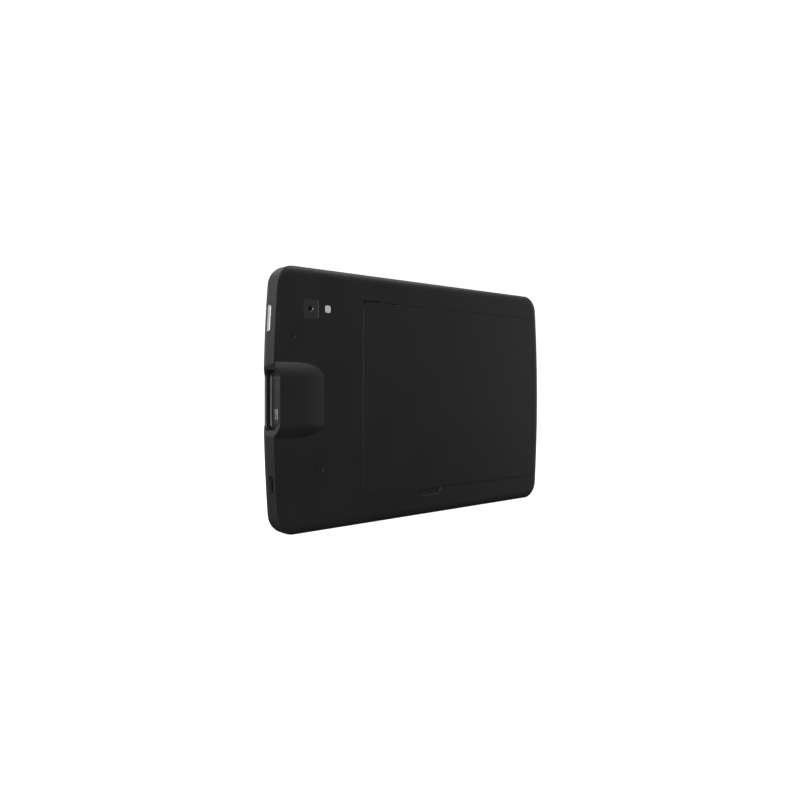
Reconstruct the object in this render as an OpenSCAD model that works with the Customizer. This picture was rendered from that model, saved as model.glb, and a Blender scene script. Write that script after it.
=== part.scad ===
// Field data collector: a slim sealed tablet, standing on its long bottom edge.
// Every piece is drawn lying on its glass: x runs along the width, y up the height
// and z from the front plane towards the back. stand() then sets it upright.

/* [Body] */
// Width over the bowed ends
body_w = 231; // [229:1:233]
// Height from the bottom edge to the top edge
body_h = 150; // [149:1:152]
// Thickness from the front plane to the plain back
body_t = 12.8; // [12.8:0.1:13.4]
// Corner radius of the outline
corner_r = 12; // [10:1:14]
// How far each short end bows out
end_bow = 3.5; // [2.5:0.5:4]
// Wall thickness of the rear housing
wall = 1.4; // [1.2:0.1:1.5]

/* [Dock] */
// How far the dock boss stands off the back
dock_rise = 3; // [2.5:0.5:3.5]
// Half height of the flat of the boss
dock_flat = 13; // [12.5:0.5:13.5]
// Half height of the foot of the boss
dock_foot = 20.5; // [20:0.5:21.5]
// Length of the plug pocket
pocket_len = 33; // [32:0.5:33]
// Width of the plug pocket
pocket_w = 12; // [11.4:0.2:12]

/* [Battery cover] */
// Left edge of the cover
cover_left = -53.5; // [-54:0.5:-53]
// Right edge of the cover
cover_right = 103; // [102:0.5:103.5]
// Half height of the cover
cover_half = 58.4; // [58:0.1:59]
// Thickness of the cover
cover_t = 1.2; // [1:0.1:1.4]
// Width of the ledge that the cover rests on
ledge_w = 5; // [4.8:0.1:5.2]
// Gap around the cover
cover_gap = 0.25; // [0.15:0.05:0.35]

/* [Display] */
// Width of the cover glass
glass_w = 217; // [215:1:218]
// Height of the cover glass
glass_h = 137; // [136:1:138]
// Width of the display panel
panel_w = 187; // [184:1:187]
// Height of the display panel
panel_h = 120; // [118:1:120]

/* [Keys] */
// Length of the power key
key_len = 15; // [13:0.5:16]
// Width of both keys
key_w = 2.9; // [2.6:0.1:3]
// Length of the volume rocker
rocker_len = 23.6; // [20:0.2:24]

/* [Hidden] */

$fn = 48;
eps = 0.01;
mid_y = body_h / 2;
end_x = body_w / 2;

// Levels above the front plane
glass_z = 0.3;
glass_t = 1;
panel_z = 1.35;
panel_t = 2;
seam_z = 3.8;
chassis_z = 3.85;
chassis_t = 0.8;
chassis_top = chassis_z + chassis_t;
board_z = 5.6;
board_t = 1;
board_top = board_z + board_t + 0.05;
inner_back = body_t - wall;
cover_z = body_t - cover_t;
ledge_t = 1.2;
ledge_z = cover_z - ledge_t;

// Rolled back edge and rolled front edge, each as [inset, level, pull]; pull moves the left end
// back out, which keeps a crisp edge there
roll_start = body_t - 3.2;
back_roll = [[0, seam_z, 0], [0, roll_start, 0], [1.2, body_t - 1.4, 1.2],
    [3, body_t - 0.4, 3], [5.5, body_t, 5.5]];
inner_roll = [[wall, seam_z - 1, 0], [wall, inner_back - 2, 0], [wall + 2.6, inner_back, 2.6]];
front_roll = [[2.8, 0, 0], [1.7, 0.4, 0], [0.7, 1.2, 0], [0.1, 2.6, 0], [0, seam_z, 0]];

// The bow of the short ends as one large arc, tangent to the corner arcs
bow_r = (mid_y * mid_y + end_bow * end_bow) / (2 * end_bow);
bow_angle = asin((mid_y - corner_r) / (bow_r - corner_r));
corner_x = end_x - bow_r + (bow_r - corner_r) * cos(bow_angle);
corner_steps = 8;
bow_steps = 14;

// Places on the back
camera_at = [-91.1, 126.6];
camera_size = [9.8, 11];
flash_at = [-79.4, 127];
flash_size = [4.6, 5.2];
mic_at = [-102.3, 110.4];
vent_at = [-85.4, 35.8];
notch_x = 1.5;
notch_half = 5.5;
notch_r = 4;
notch_deep = 0.9;

// Places on the left end
dock_face_x = -113.4;
dock_tilt = 1.8;
cut_flat = dock_flat + 0.3;
connector_x = -111.2;
connector_half = 13;
connector_z = [5.6, 11.1];
pocket_z = 7.2;
pocket_floor = -109.9;
pocket_r = 4;
boss_flat_x = -100.9;
boss_foot_x = -82;
usb_at = [28.6, 8.35];
usb_half = 3;
usb_r = 1.65;
key_y = 120;
key_z = 6.25;
key_angle = asin((key_y - mid_y) / bow_r);

// Places on the top edge
rocker_x = -76;
rocker_pin_y = body_h - 3;
rocker_pin_r = 0.6;

// Battery bay, as [left, right] and [bottom, top]
bay_x = [cover_left + ledge_w, cover_right - ledge_w];
bay_y = [mid_y - cover_half + ledge_w, mid_y + cover_half - ledge_w];
tray_wall = 0.8;
tray_gap = 0.2;
pack_x = [bay_x[0] + 2, bay_x[1] - 2];
pack_y = [bay_y[0] + 2, bay_y[1] - 2];
pack_z = [5.2, 10.2];
terminal_half = 6;
terminal_t = 0.3;

// Screws
board_holes = [[-99, 18], [-60, 18], [-99.5, 134], [-60, 132], [-60, 99]];
chassis_holes = [for (x = [-90, -30, 30, 90], y = [10, body_h - 10]) [x, y]];
ledge_mid = 3.1;
housing_holes = [for (x = [cover_left + ledge_mid, cover_right - ledge_mid], s = [-1, 1])
    [x, mid_y + s * 38], for (x = [-15, 60], s = [-1, 1])
    [x, mid_y + s * (cover_half - ledge_mid)]];
peg_size = [7, 1.2];
pegs = [for (x = [-35, 25, 85], s = [-1, 1]) [x, mid_y + s * (cover_half - ledge_mid)]];

function arc(centre, r, from, to, steps) =
    [for (i = [0 : steps - 1]) let (a = from + (to - from) * i / steps)
        [centre[0] + r * cos(a), centre[1] + r * sin(a)]];

// Outline of the tablet, moved inwards by inset, anticlockwise from the right end
function outline_points(inset) =
    let (r = corner_r - inset, big = bow_r - inset, cy = mid_y - corner_r)
    concat(
        arc([end_x - bow_r, mid_y], big, -bow_angle, bow_angle, bow_steps),
        arc([corner_x, mid_y + cy], r, bow_angle, 90, corner_steps),
        [[corner_x, mid_y + cy + r]],
        arc([-corner_x, mid_y + cy], r, 90, 180 - bow_angle, corner_steps),
        arc([bow_r - end_x, mid_y], big, 180 - bow_angle, 180 + bow_angle, bow_steps),
        arc([-corner_x, mid_y - cy], r, 180 + bow_angle, 270, corner_steps),
        [[-corner_x, mid_y - cy - r]],
        arc([corner_x, mid_y - cy], r, 270, 360 - bow_angle, corner_steps));

module outline(inset = 0) polygon(outline_points(inset));

// Lays the drawing upright, with the middle of the whole depth on the y axis
module stand() translate([0, (body_t + dock_rise) / 2, 0]) rotate([90, 0, 0]) children();

// Point of a ring: the pull is full at the left end and fades to nothing at the right end
function ring_point(p, ring) =
    [p[0] - ring[2] * (0.5 - p[0] / (2 * (end_x - ring[0]))), p[1], ring[1]];

// Solid through a stack of rings, each an outline with its own inset, level and pull
module loft(rings) {
    n = len(outline_points(0));
    top = (len(rings) - 1) * n;
    points = [for (ring = rings, p = outline_points(ring[0])) ring_point(p, ring)];
    sides = [for (k = [0 : len(rings) - 2], i = [0 : n - 1]) let (a = k * n + i, b = k * n + (i + 1) % n)
        each [[a, a + n, b], [b, a + n, b + n]]];
    polyhedron(points, concat([[for (i = [0 : n - 1]) i]], sides, [[for (i = [n - 1 : -1 : 0]) top + i]]));
}

// Solid between two level rectangles, each as [x from, x to, half height, z]
module frustum(low, high) polyhedron(
    [for (r = [low, high]) each [[r[0], mid_y - r[2], r[3]], [r[1], mid_y - r[2], r[3]],
        [r[1], mid_y + r[2], r[3]], [r[0], mid_y + r[2], r[3]]]],
    [[0, 1, 2, 3], [7, 6, 5, 4], [0, 4, 5, 1], [1, 5, 6, 2], [2, 6, 7, 3], [3, 7, 4, 0]]);

module block(x, y, z) translate([x[0], y[0], z[0]])
    cube([x[1] - x[0], y[1] - y[0], z[1] - z[0]]);

module block_at(at, size, z) block([at[0] - size[0] / 2, at[0] + size[0] / 2],
    [at[1] - size[1] / 2, at[1] + size[1] / 2], z);

module rod(at, r, z) translate([at[0], at[1], z[0]]) cylinder(r = r, h = z[1] - z[0]);

// Rectangle with true round corners, between two levels
module plate(x, y, r, z) translate([0, 0, z[0]]) linear_extrude(z[1] - z[0]) union() {
    translate([x[0] + r, y[0]]) square([x[1] - x[0] - 2 * r, y[1] - y[0]]);
    translate([x[0], y[0] + r]) square([x[1] - x[0], y[1] - y[0] - 2 * r]);
    for (cx = [x[0] + r, x[1] - r], cy = [y[0] + r, y[1] - r]) translate([cx, cy]) circle(r = r);
}

module plate_at(at, size, r, z) plate([at[0] - size[0] / 2, at[0] + size[0] / 2],
    [at[1] - size[1] / 2, at[1] + size[1] / 2], r, z);

// Slot with round ends that runs along y and passes through along x
module end_slot(x, y, z, half, r) translate([x[0], y, z]) rotate([90, 0, 90])
    linear_extrude(x[1] - x[0]) union() {
        translate([-half, -r]) square([2 * half, 2 * r]);
        for (s = [-1, 1]) translate([s * half, 0]) circle(r = r);
    }

module cover_plate(grow, z) plate([cover_left - grow, cover_right + grow],
    [mid_y - cover_half - grow, mid_y + cover_half + grow], 5 + grow, z);

// The boss goes on down to a level inside the back wall
boss_deep = 0.7;
boss_grow = boss_deep / dock_rise;

module dock_boss() frustum(
    [-end_x + 0.9, boss_foot_x + (boss_foot_x - boss_flat_x) * boss_grow,
        dock_foot + (dock_foot - dock_flat) * boss_grow, body_t - boss_deep],
    [-end_x + 0.9, boss_flat_x, dock_flat, body_t + dock_rise]);

module boss_hollow() frustum([-108, boss_foot_x - 3, dock_foot - 2.4, inner_back - 0.6],
    [-108, boss_flat_x - 1.2, dock_flat - 1.2, body_t + dock_rise - wall]);

// Wedge cut that leans the end wall back around the dock
module dock_cut() translate([dock_face_x, mid_y, seam_z]) rotate([0, dock_tilt, 0])
    translate([0, 0, -6]) linear_extrude(22)
        polygon([[0, -cut_flat], [0, cut_flat], [-8, cut_flat + 24.7], [-8, -cut_flat - 24.7]]);

// Pocket for the plug of a dock, as deep as its floor behind the connector face
module plug_pocket() translate([0, mid_y, pocket_z]) plate_x([-120, pocket_floor], pocket_len, pocket_w, pocket_r);

module housing_shell() union() {
    difference() {
        loft(back_roll);
        loft(inner_roll);
    }
    dock_boss();
}

module rear_housing() color("#26272a") difference() {
    union() {
        difference() {
            housing_shell();
            boss_hollow();
        }
        // thick seat behind the dock pocket
        block([-end_x + wall / 2 + 0.2, -108.9], [mid_y - 19, mid_y + 19], [seam_z, body_t - 0.3]);
        // frame under the cover
        plate([cover_left - 1.5, cover_right + 1.5], [mid_y - cover_half - 1.5,
            mid_y + cover_half + 1.5], 6, [ledge_z, body_t - 0.4]);
    }
    dock_cut();
    // plug pocket and the window that the connector stands through
    plug_pocket();
    block([connector_x - 0.5, -108], [mid_y - connector_half - 0.1, mid_y + connector_half + 0.1],
        [connector_z[0] - 0.1, connector_z[1] + 0.1]);
    // cover recess and bay
    cover_plate(cover_gap, [cover_z, body_t + 1]);
    plate(bay_x, bay_y, 3, [0, body_t]);
    // groove of the cover seal
    difference() {
        cover_plate(-0.3, [cover_z - 0.6, cover_z + eps]);
        cover_plate(-1.3, [0, body_t]);
    }
    // finger notch and pry slots along the cover
    translate([notch_x, mid_y - cover_half, body_t - notch_deep]) linear_extrude(2) union() {
        square([2 * notch_half, 2 * notch_r], center = true);
        for (s = [-1, 1]) translate([s * notch_half, 0]) circle(r = notch_r);
    }
    block([-53.4, -40.6], [mid_y + cover_half - 1, mid_y + cover_half + 0.95],
        [body_t - notch_deep, body_t + 1]);
    block([-32, -26], [mid_y + cover_half - 1, mid_y + cover_half + 0.7],
        [body_t - notch_deep, body_t + 1]);
    for (p = pegs) block_at(p, peg_size + [0.4, 0.4], [0, body_t]);
    for (p = housing_holes) {
        rod(p, 0.8, [0, body_t]);
        rod(p, 1.6, [cover_z - 0.7, body_t]);
    }
    // windows in the back
    plate_at(camera_at, camera_size + [0.1, 0.1], 1.2, [body_t - 0.8, body_t + 1]);
    rod(camera_at, 3.9, [inner_back - 1, body_t]);
    plate_at(flash_at, flash_size + [0.1, 0.1], 1, [inner_back - 1, body_t + 1]);
    rod(mic_at, 0.6, [inner_back - 1, body_t + 1]);
    rod(vent_at, 3, [body_t - 0.6, body_t + 1]);
    rod(vent_at, 1, [inner_back - 1, body_t]);
    // ports and keys in the edges
    end_slot([-120, -110], usb_at[0], usb_at[1], usb_half + 0.05, usb_r);
    at_key() block([-4, 6], [-key_len / 2 - 0.15, key_len / 2 + 0.15],
        [-key_w / 2 - 0.15, key_w / 2 + 0.15]);
    block([rocker_x - rocker_len / 2 - 0.25, rocker_x + rocker_len / 2 + 0.25],
        [body_h - 3, body_h + 1], [key_z - key_w / 2 - 0.15, key_z + key_w / 2 + 0.15]);
}

// Frame on the outside of the left end wall at the power key: x points inwards
module at_key() translate([-end_x + bow_r - bow_r * cos(key_angle), key_y, key_z])
    rotate([0, 0, -key_angle]) children();

module front_bezel() color("#1c1c1e") difference() {
    loft(front_roll);
    plate_at([0, mid_y], [glass_w + 0.3, glass_h + 0.3], 6.15, [-1, panel_z]);
    plate_at([0, mid_y], [panel_w + 1, panel_h + 1], 1, [-1, seam_z + 1]);
    difference() {
        translate([0, 0, seam_z - 0.5]) linear_extrude(1) outline(0.4);
        translate([0, 0, seam_z - 0.6]) linear_extrude(2) outline(1.1);
        block([-end_x - 1, -end_x + 5], [mid_y - 18.9, mid_y + 18.9], [seam_z - 1, seam_z + 2]);
    }
    block_at([0, 139.2], [6.6, 6.6], [1, seam_z + 1]);
    block_at([14, 139.2], [3.4, 3.4], [1, seam_z + 1]);
    for (side = [-1, 1], i = [0 : 5]) rod([side * 110.4, 38 + 2.4 * i], 0.5, [-1, seam_z + 1]);
    for (p = chassis_holes) rod(p, 0.8, [1.8, seam_z + 1]);
    // the dock face and its pocket run on through the bezel
    dock_cut();
    plug_pocket();
}

module cover_glass() color("#0a0b0d") plate_at([0, mid_y], [glass_w, glass_h], 6,
    [glass_z, glass_z + glass_t]);

module display_panel() color("#20242c") plate_at([0, mid_y], [panel_w, panel_h], 1,
    [panel_z, panel_z + panel_t]);

module display_backplate() color("silver") plate_at([0, mid_y], [panel_w - 2, panel_h - 2], 1,
    [panel_z + panel_t, seam_z - 0.1]);

module frame_seal() color("#3a3a3a") translate([0, 0, seam_z - 0.5]) linear_extrude(0.5)
    difference() {
        outline(0.45);
        outline(1.05);
        translate([-end_x - 1, mid_y - 19]) square([6, 38]);
    }

module support_chassis() color("#8d9094") difference() {
    union() {
        translate([0, 0, chassis_z]) linear_extrude(chassis_t) outline(wall + 0.3);
        for (p = board_holes) rod(p, 2.2, [chassis_z, board_z]);
        for (p = housing_holes) rod(p, 1.9, [chassis_z, ledge_z - 0.05]);
    }
    block([-120, -108.6], [mid_y - 19.3, mid_y + 19.3], [0, 8]);
    for (p = board_holes) rod(p, 0.75, [3, 9]);
    for (p = housing_holes) rod(p, 0.75, [3, 12]);
    for (p = chassis_holes) rod(p, 0.9, [3, 9]);
    rod([rocker_x, rocker_pin_y], rocker_pin_r + 0.05, [3, 9]);
    // lightening windows behind the display
    for (x = [-22, 25, 72]) plate_at([x, mid_y], [34, 70], 6, [3, 9]);
}

module battery_tray() color("#2b2d30") difference() {
    plate(bay_x + [tray_gap, -tray_gap], bay_y + [tray_gap, -tray_gap], 2.8,
        [chassis_top + 0.05, ledge_z - 0.1]);
    plate(bay_x + [tray_gap + tray_wall, -tray_gap - tray_wall],
        bay_y + [tray_gap + tray_wall, -tray_gap - tray_wall], 2, [chassis_top + 0.4, 20]);
    block([bay_x[0] - 1, bay_x[0] + 2.1], [mid_y - 7.6, mid_y + 7.6], [chassis_top + 0.4, 8.8]);
}

module main_board() color("#1f5136") difference() {
    union() {
        block([-103, -55.6], [13.5, 136.5], [board_z, board_z + board_t]);
        block([-110.5, -103], [21, 36], [board_z, board_z + board_t]);
    }
    for (p = board_holes) rod(p, 0.9, [0, 9]);
}

module processor() color("#15171a") block_at([-77, 77], [14, 14], [board_top, board_top + 1.1]);

module memory_chips() color("#1b1d20") for (y = [64.4, 89.6])
    block_at([-77, y], [13, 8], [board_top, board_top + 0.9]);

module can(x, y, h) difference() {
    block(x, y, [board_top, board_top + h]);
    block(x + [0.3, -0.3], y + [0.3, -0.3], [0, board_top + h - 0.3]);
}

module processor_shield() color("#c4c7ca") can([-93, -61.5], [58, 95], 1.9);

module heat_spreader() color("#b87333") plate([-95, -60], [56, 96.8], 2,
    [board_top + 1.95, board_top + 2.25]);

module radio_shield() color("#c4c7ca") can([-96, -74], [22, 50], 2);

module gnss_antenna() color("#d9cdb0") difference() {
    plate_at([-66.5, 115], [17, 17], 1, [board_top, board_top + 3.8]);
    rod([-66.5, 115], 0.7, [board_top + 3.4, 12]);
}

module rear_camera() color("#17181a") union() {
    block_at(camera_at, [8.6, 8.6], [board_top, board_top + 2.9]);
    rod(camera_at, 3.4, [board_top + 2.9 - eps, body_t - 0.9]);
}

module camera_window() color("#303237") plate_at(camera_at, camera_size, 1.15,
    [body_t - 0.8, body_t - 0.05]);

module flash_led() color("#e8d67a") block_at(flash_at, [3.4, 3.4], [board_top, inner_back - 0.1]);

module flash_lens() color("#dcdcd6") plate_at(flash_at, flash_size, 0.95,
    [inner_back, body_t - 0.05]);

module microphone() color("#b5b8bb") difference() {
    block_at(mic_at, [3.6, 2.8], [inner_back - 1.2, inner_back - 0.05]);
    rod(mic_at, 0.4, [inner_back - 0.6, 20]);
}

module pressure_vent() color("#101113") rod(vent_at, 2.9, [body_t - 0.6, body_t - 0.3]);

module front_camera() color("#17181a") union() {
    block_at([0, 139.2], [6, 6], [2.3, seam_z - 0.05]);
    rod([0, 139.2], 2.1, [panel_z + 0.05, 2.3 + eps]);
}

module light_sensor() color("#3c3f44") block_at([14, 139.2], [2.8, 2.8], [panel_z + 0.1, seam_z - 0.05]);

module dock_connector() color("#1a1b1d") difference() {
    block([connector_x, -103.6], [mid_y - connector_half, mid_y + connector_half], connector_z);
    // channel that the contacts lie in, and the seat of the catch
    block([-120, connector_x + 0.8], [mid_y - 11.6, mid_y + 11.6], [6.1, 7.3]);
    block([-120, connector_x + 0.4], [mid_y - 11.2, mid_y - 4.8], [7.6, 10.9]);
}

module dock_contacts() color("#cfa54a") for (i = [0 : 15]) union() {
    block_at([connector_x + 0.6, mid_y - 10.5 + 1.4 * i], [0.4, 0.7], [6.15, 7.25]);
    block_at([-102.6, mid_y - 10.5 + 1.4 * i], [2, 0.7], [board_top, board_top + 0.25]);
}

module dock_catch() color("#8e9195") difference() {
    block([connector_x - 0.5, connector_x + 0.4], [mid_y - 11.2, mid_y - 4.8], [7.6, 10.9]);
    for (y = [-9.6, -6.4]) translate([-120, mid_y + y, 9.25]) rotate([0, 90, 0])
        cylinder(r = 0.5, h = 12);
}

module usb_port() color("#9a9da1") union() {
    difference() {
        end_slot([-113.2, -106.2], usb_at[0], usb_at[1], usb_half - 0.05, usb_r - 0.05);
        end_slot([-120, -107], usb_at[0], usb_at[1], usb_half - 0.05, usb_r - 0.35);
    }
    block([-112.6, -107 + eps], [usb_at[0] - 3.2, usb_at[0] + 3.2], [usb_at[1] - 0.35, usb_at[1] + 0.35]);
}

module power_key() color("#a7a9ac") at_key() union() {
    plate_x([-0.3, wall + 0.15], key_len, key_w, 1.2);
    block([wall + 0.14, wall + 0.75], [-key_len / 2 - 0.8, key_len / 2 + 0.8],
        [-key_w / 2, key_w / 2 + 0.8]);
}

// Bar that points along x, with round corners in its y-z section
module plate_x(x, len, w, r) translate([x[0], 0, 0]) rotate([90, 0, 90])
    linear_extrude(x[1] - x[0]) union() {
        square([len - 2 * r, w], center = true);
        square([len, w - 2 * r], center = true);
        for (a = [-1, 1], b = [-1, 1])
            translate([a * (len / 2 - r), b * (w / 2 - r)]) circle(r = r);
    }

module power_switch() color("#6f7276") at_key() union() {
    block([wall + 1.9, wall + 4], [-3, 3], [chassis_top + 0.05 - key_z, 1.4]);
    block([wall + 1.35, wall + 1.9 + eps], [-1, 1], [-0.6, 0.6]);
}

module volume_rocker() color("#2b2d30") union() {
    block([rocker_x - rocker_len / 2, rocker_x + rocker_len / 2], [body_h - 2.4, body_h],
        [key_z - key_w / 2, key_z + key_w / 2]);
    block([rocker_x - 4.5, rocker_x + 4.5], [body_h - 3.4, body_h - 1.85],
        [key_z - 1.5, key_z + 2]);
    rod([rocker_x, rocker_pin_y], rocker_pin_r, [chassis_z + 0.05, key_z + 2.2]);
}

module volume_switches() color("#6f7276") for (x = [rocker_x - 8.5, rocker_x + 8.5]) union() {
    block([x - 2.2, x + 2.2], [body_h - 5.6, body_h - 3.4], [chassis_top + 0.05, key_z + 1.4]);
    block([x - 0.8, x + 0.8], [body_h - 3.4 - eps, body_h - 2.8], [key_z - 0.6, key_z + 0.6]);
}

module speaker(side) color("#232528") difference() {
    block([side * 108.2 - 3.6, side * 108.2 + 3.6], [36.6, 51.4], [chassis_top + 0.05, 8.2]);
    for (i = [0 : 5]) rod([side * 109.6, 38 + 2.4 * i], 0.5, [7.4, 9]);
}

module speaker_left() speaker(-1);

module speaker_right() speaker(1);

module vibration_motor() color("#a5a8ac") rod([-66, 32], 4, [board_top, board_top + 2.7]);

module wifi_antenna() color("#c98a3c") block([-10, 50], [body_h - 2.2, body_h - 1.75], [5.2, 8.9]);

module cell_antenna() color("#c98a3c") block([-10, 50], [1.75, 2.2], [5.2, 8.9]);

module battery_connector() color("#1a1b1d") difference() {
    block([-53.5, bay_x[0] + 1.7], [mid_y - 7, mid_y + 7], [chassis_top + 0.5, 8.5]);
    for (i = [-2 : 2]) block_at([bay_x[0] + 1.5, mid_y + 2.4 * i], [1.2, 1], [6, 9]);
}

module card_reader() color("#c4c7ca") difference() {
    block([-72, -57.5], [40, 55], [board_top, board_top + 1.4]);
    block([-71, -58.5], [39, 54], [board_top + 0.4, board_top + 1.1]);
}

module screw(at, head_z, tip_z, r, head_r) difference() {
    union() {
        rod(at, head_r, [head_z, head_z + 0.6]);
        rod(at, r, [tip_z, head_z + eps]);
    }
    for (turn = [0, 90]) translate([at[0], at[1], head_z + 0.6]) rotate([0, 0, turn])
        cube([1.5, 0.35, 0.6], center = true);
}

module board_screws() color("#9fa2a6") for (p = board_holes) screw(p, board_top, 4, 0.7, 1.4);

module chassis_screws() color("#9fa2a6") for (p = chassis_holes)
    screw(p, chassis_top + 0.05, 1.9, 0.75, 1.6);

module housing_screws() color("#9fa2a6") for (p = housing_holes)
    screw(p, cover_z - 0.68, 4.2, 0.7, 1.5);

module cover_seal() color("#55585c") difference() {
    cover_plate(-0.35, [cover_z - 0.6, cover_z - 0.05]);
    cover_plate(-1.25, [0, body_t]);
}

module battery_cover() color("#26272a") union() {
    cover_plate(0, [cover_z, body_t]);
    for (p = pegs) block_at(p, peg_size, [ledge_z + 0.1, cover_z + eps]);
}

module cover_pads() color("#2e3033") for (x = [-20, 70], y = [mid_y - 30, mid_y + 30])
    plate_at([x, y], [26, 12], 2, [pack_z[1] + 0.3, cover_z]);

module battery_pack() color("#34373b") difference() {
    plate(pack_x, pack_y, 2, pack_z);
    block([pack_x[0] - 1, pack_x[0] + terminal_t], [mid_y - terminal_half, mid_y + terminal_half],
        [6, 8.2]);
}

module battery_terminals() color("#cfa54a") for (i = [-2 : 2])
    block_at([pack_x[0] + terminal_t / 2, mid_y + 2.4 * i], [terminal_t, 1.4], [6, 8.2]);

module pull_tab() color("#c9ced4") plate([pack_x[1] - 46, pack_x[1] - 4], [mid_y - 9, mid_y + 9], 3,
    [pack_z[1], pack_z[1] + 0.15]);

stand() rear_housing();
stand() front_bezel();
stand() cover_glass();
stand() display_panel();
stand() display_backplate();
stand() frame_seal();
stand() support_chassis();
stand() battery_tray();
stand() main_board();
stand() processor();
stand() memory_chips();
stand() processor_shield();
stand() heat_spreader();
stand() radio_shield();
stand() gnss_antenna();
stand() rear_camera();
stand() camera_window();
stand() flash_led();
stand() flash_lens();
stand() microphone();
stand() pressure_vent();
stand() front_camera();
stand() light_sensor();
stand() dock_connector();
stand() dock_contacts();
stand() dock_catch();
stand() usb_port();
stand() power_switch();
stand() volume_switches();
stand() speaker_left();
stand() speaker_right();
stand() vibration_motor();
stand() wifi_antenna();
stand() cell_antenna();
stand() battery_connector();
stand() card_reader();
stand() board_screws();
stand() chassis_screws();
stand() housing_screws();
stand() cover_seal();
stand() battery_cover();
stand() cover_pads();
stand() battery_pack();
stand() battery_terminals();
stand() pull_tab();
stand() power_key();
stand() volume_rocker();
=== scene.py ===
import math

import bmesh
import bpy
import numpy as np
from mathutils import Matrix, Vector


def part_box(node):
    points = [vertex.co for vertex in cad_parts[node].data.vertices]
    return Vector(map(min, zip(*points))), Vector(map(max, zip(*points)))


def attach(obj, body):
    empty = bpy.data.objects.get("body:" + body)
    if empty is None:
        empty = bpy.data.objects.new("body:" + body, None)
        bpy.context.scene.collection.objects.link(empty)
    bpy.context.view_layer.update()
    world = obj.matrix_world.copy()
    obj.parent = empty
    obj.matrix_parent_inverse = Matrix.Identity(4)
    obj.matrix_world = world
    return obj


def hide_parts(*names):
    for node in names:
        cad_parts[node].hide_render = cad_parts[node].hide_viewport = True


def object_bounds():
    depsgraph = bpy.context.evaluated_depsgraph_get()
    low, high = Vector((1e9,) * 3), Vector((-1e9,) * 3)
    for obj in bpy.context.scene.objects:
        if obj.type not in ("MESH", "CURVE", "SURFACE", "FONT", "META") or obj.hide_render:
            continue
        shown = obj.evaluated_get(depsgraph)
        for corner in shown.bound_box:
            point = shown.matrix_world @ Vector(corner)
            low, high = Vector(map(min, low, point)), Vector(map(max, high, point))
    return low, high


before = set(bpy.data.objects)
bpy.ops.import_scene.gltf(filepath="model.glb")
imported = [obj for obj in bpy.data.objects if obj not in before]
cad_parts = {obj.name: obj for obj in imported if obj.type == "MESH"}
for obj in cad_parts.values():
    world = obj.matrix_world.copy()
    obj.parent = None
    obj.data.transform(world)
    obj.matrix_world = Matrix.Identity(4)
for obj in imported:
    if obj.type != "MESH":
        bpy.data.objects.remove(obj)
cad_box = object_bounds()

# ---------------------------------------------------------------------------
# Camera. It stands level with the middle of the tablet, about 40 cm from the
# dock end, and looks at the back from 41 degrees off square.
# ---------------------------------------------------------------------------
view_turn = math.radians(41.2)
forward = Vector((math.sin(view_turn), math.cos(view_turn), 0))
right = Vector((math.cos(view_turn), -math.sin(view_turn), 0))
back_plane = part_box("battery_cover")[0].y
middle = Vector((0, back_plane, cad_box[1][2] / 2))
camera_data = bpy.data.cameras.new("camera")
camera_data.lens = 31.82
camera_data.sensor_width = 36
camera_data.shift_y = -0.015
camera_data.clip_start = 0.01
camera = bpy.data.objects.new("camera", camera_data)
camera_back, camera_left, camera_up = 0.4587, 0.01834, 0.00674
camera.location = middle - camera_back * forward - camera_left * right + Vector((0, 0, camera_up))
camera.rotation_euler = (math.pi / 2, 0, -view_turn)
bpy.context.scene.collection.objects.link(camera)
bpy.context.scene.camera = camera

# ---------------------------------------------------------------------------
# Studio. A white cove of lacquered board whose floor sweeps up into a wall, and
# soft boxes round the tablet. The cove is lit for the lens alone, so the dark
# plastic mirrors the soft boxes and the dim room, and not the white board.
# ---------------------------------------------------------------------------


def linear(hex_colour, alpha=1.0):
    """The linear colour of an sRGB hex value."""
    parts = [int(hex_colour[i:i + 2], 16) / 255 for i in (1, 3, 5)]
    return [c / 12.92 if c <= 0.04045 else ((c + 0.055) / 1.055) ** 2.4 for c in parts] + [alpha]


def add(tree, kind, inputs=None, **settings):
    """A node with its settings, and with each input set to a value or linked to an output."""
    node = tree.nodes.new("ShaderNode" + kind)
    for name, value in settings.items():
        setattr(node, name, value)
    for name, value in (inputs or {}).items():
        if isinstance(value, bpy.types.NodeSocket):
            tree.links.new(value, node.inputs[name])
        else:
            node.inputs[name].default_value = value
    return node


def material(name):
    """A new material, with its empty node tree."""
    made = bpy.data.materials.new(name)
    made.use_nodes = True
    made.node_tree.nodes.clear()
    return made, made.node_tree


def grid_faces(rows, cols, loop=True):
    """Four-sided faces between neighbouring rows of points; loop joins the last column to the first."""
    row, col = np.meshgrid(np.arange(rows - 1), np.arange(cols if loop else cols - 1), indexing="ij")
    beside = (col + 1) % cols
    corners = [row * cols + col, row * cols + beside, (row + 1) * cols + beside, (row + 1) * cols + col]
    return np.stack(corners, axis=-1).reshape(-1, 4).tolist()


def piece(name, points, faces):
    """A mesh object at the origin from points in metres."""
    mesh = bpy.data.meshes.new(name)
    mesh.from_pydata(np.asarray(points, float).reshape(-1, 3).tolist(), [], faces)
    mesh.update()
    made = bpy.data.objects.new(name, mesh)
    bpy.context.scene.collection.objects.link(made)
    return made


bpy.context.scene.view_settings.view_transform = "Standard"
cove_floor = 1.2
cove_sweep = 0.5
cove_top = 1.6
cove_sides = 96


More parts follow.
